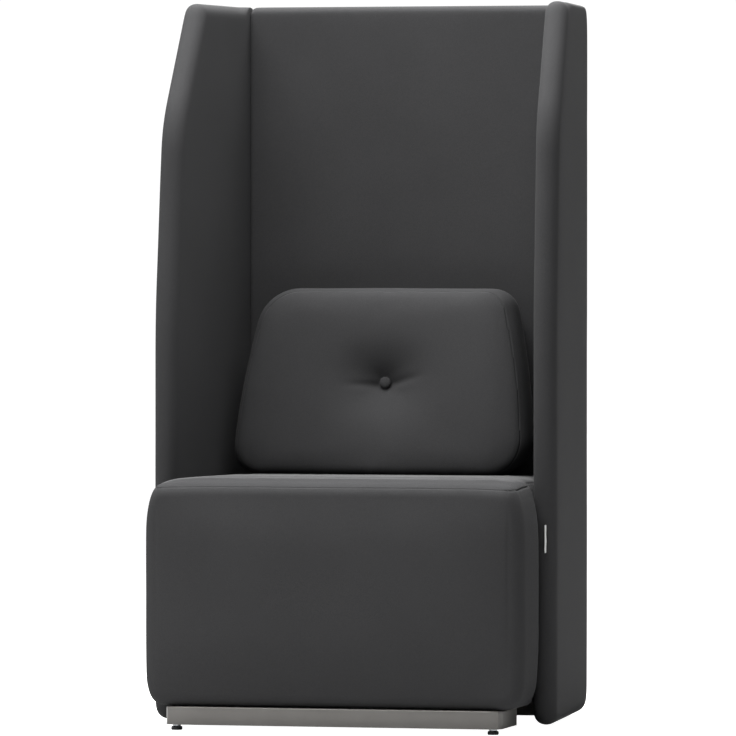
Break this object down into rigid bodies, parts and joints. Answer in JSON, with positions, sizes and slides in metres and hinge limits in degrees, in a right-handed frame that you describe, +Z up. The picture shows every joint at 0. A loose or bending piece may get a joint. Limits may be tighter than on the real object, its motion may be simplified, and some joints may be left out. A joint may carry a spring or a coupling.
{
  "type": "acoustic high back lounge chair",
  "caption": "High-backed padded lounge chair with full-height wings, a block seat on low steel beams with levelling feet, and a loose buttoned back cushion.",
  "frame": {"origin": "on the floor under the middle of the chair's outer box", "axes": "+Z up along the back, -Y the way the seat faces, +X to the sitter's left, which is the viewer's right from the front"},
  "size_m": [0.7548, 0.635, 1.325],
  "materials": {
    "charcoal_cloth": "fine matt wool cloth",
    "cream_foam": "open foam",
    "white_filling": "soft fibre",
    "plywood": "sanded birch plywood",
    "zinc_steel": "zinc plated",
    "spring_steel": "oiled spring wire",
    "warm_grey_paint": "satin powder coat",
    "black_plastic": "moulded",
    "black_lining": "bonded lining",
    "pale_tape": "folded woven tape"
  },
  "bodies": {
    "chair_frame": {"left_wing_cover": "charcoal_cloth", "left_wing_foam": "cream_foam", "left_wing_core": "plywood", "left_wing_bolt_1": "zinc_steel", "left_wing_bolt_2": "zinc_steel", "left_connector_bolt": "zinc_steel", "right_wing_cover": "charcoal_cloth", "right_wing_foam": "cream_foam", "right_wing_core": "plywood", "right_wing_bolt_1": "zinc_steel", "right_wing_bolt_2": "zinc_steel", "right_connector_bolt": "zinc_steel", "back_cover": "charcoal_cloth", "back_foam": "cream_foam", "back_core": "plywood", "back_bolt_left": "zinc_steel", "back_bolt_right": "zinc_steel", "seat_cover": "charcoal_cloth", "seat_foam": "cream_foam", "seat_board": "plywood", "dust_cover": "black_lining", "front_rail": "plywood", "rear_rail": "plywood", "left_rail": "plywood", "right_rail": "plywood", "front_clip_strip": "zinc_steel", "rear_clip_strip": "zinc_steel", "seat_spring_1": "spring_steel", "seat_spring_2": "spring_steel", "seat_spring_3": "spring_steel", "seat_spring_4": "spring_steel", "front_base_beam": "warm_grey_paint", "rear_base_beam": "warm_grey_paint", "foot_bracket_front_left": "zinc_steel", "foot_bracket_front_right": "zinc_steel", "foot_bracket_rear_left": "zinc_steel", "foot_bracket_rear_right": "zinc_steel", "base_bolt_front_1": "zinc_steel", "base_bolt_front_2": "zinc_steel", "base_bolt_rear_1": "zinc_steel", "base_bolt_rear_2": "zinc_steel", "side_tab": "pale_tape"},
    "back_cushion": {"back_cushion_cover": "charcoal_cloth", "back_cushion_filling": "white_filling", "front_button": "charcoal_cloth", "rear_button": "charcoal_cloth", "tuft_cord": "white_filling"},
    "pad_front_left": {"foot_pad_front_left": "black_plastic"},
    "pad_front_right": {"foot_pad_front_right": "black_plastic"},
    "pad_rear_left": {"foot_pad_rear_left": "black_plastic"},
    "pad_rear_right": {"foot_pad_rear_right": "black_plastic"},
    "stud_front_left": {"foot_stud_front_left": "zinc_steel"},
    "stud_front_right": {"foot_stud_front_right": "zinc_steel"},
    "stud_rear_left": {"foot_stud_rear_left": "zinc_steel"},
    "stud_rear_right": {"foot_stud_rear_right": "zinc_steel"}
  },
  "joints": [
    {"name": "cushion_lift", "type": "slide", "parent": "chair_frame", "child": "back_cushion", "axis": [0, 0, 1], "range_m": [0, 0.9]},
    {"name": "foot_height_front_left", "type": "slide", "parent": "chair_frame", "child": "pad_front_left", "axis": [0, 0, -1], "range_m": [0, 0.012]},
    {"name": "foot_height_front_right", "type": "slide", "parent": "chair_frame", "child": "pad_front_right", "axis": [0, 0, -1], "range_m": [0, 0.012]},
    {"name": "foot_height_rear_left", "type": "slide", "parent": "chair_frame", "child": "pad_rear_left", "axis": [0, 0, -1], "range_m": [0, 0.012]},
    {"name": "foot_height_rear_right", "type": "slide", "parent": "chair_frame", "child": "pad_rear_right", "axis": [0, 0, -1], "range_m": [0, 0.012]},
    {"name": "foot_turn_front_left", "type": "hinge", "parent": "pad_front_left", "child": "stud_front_left", "pos_m": [-0.294, -0.2795, 0], "axis": [0, 0, -1], "range_deg": [0, 3460]},
    {"name": "foot_turn_front_right", "type": "hinge", "parent": "pad_front_right", "child": "stud_front_right", "pos_m": [0.294, -0.2795, 0], "axis": [0, 0, -1], "range_deg": [0, 3460]},
    {"name": "foot_turn_rear_left", "type": "hinge", "parent": "pad_rear_left", "child": "stud_rear_left", "pos_m": [-0.27919, 0.2365, 0], "axis": [0, 0, -1], "range_deg": [0, 3460]},
    {"name": "foot_turn_rear_right", "type": "hinge", "parent": "pad_rear_right", "child": "stud_rear_right", "pos_m": [0.27919, 0.2365, 0], "axis": [0, 0, -1], "range_deg": [0, 3460]}
  ],
  "couplings": [
    {"joint": "foot_turn_front_left", "follows": "foot_height_front_left", "rad_per_m": 5026.5},
    {"joint": "foot_turn_front_right", "follows": "foot_height_front_right", "rad_per_m": 5026.5},
    {"joint": "foot_turn_rear_left", "follows": "foot_height_rear_left", "rad_per_m": 5026.5},
    {"joint": "foot_turn_rear_right", "follows": "foot_height_rear_right", "rad_per_m": 5026.5}
  ]
}
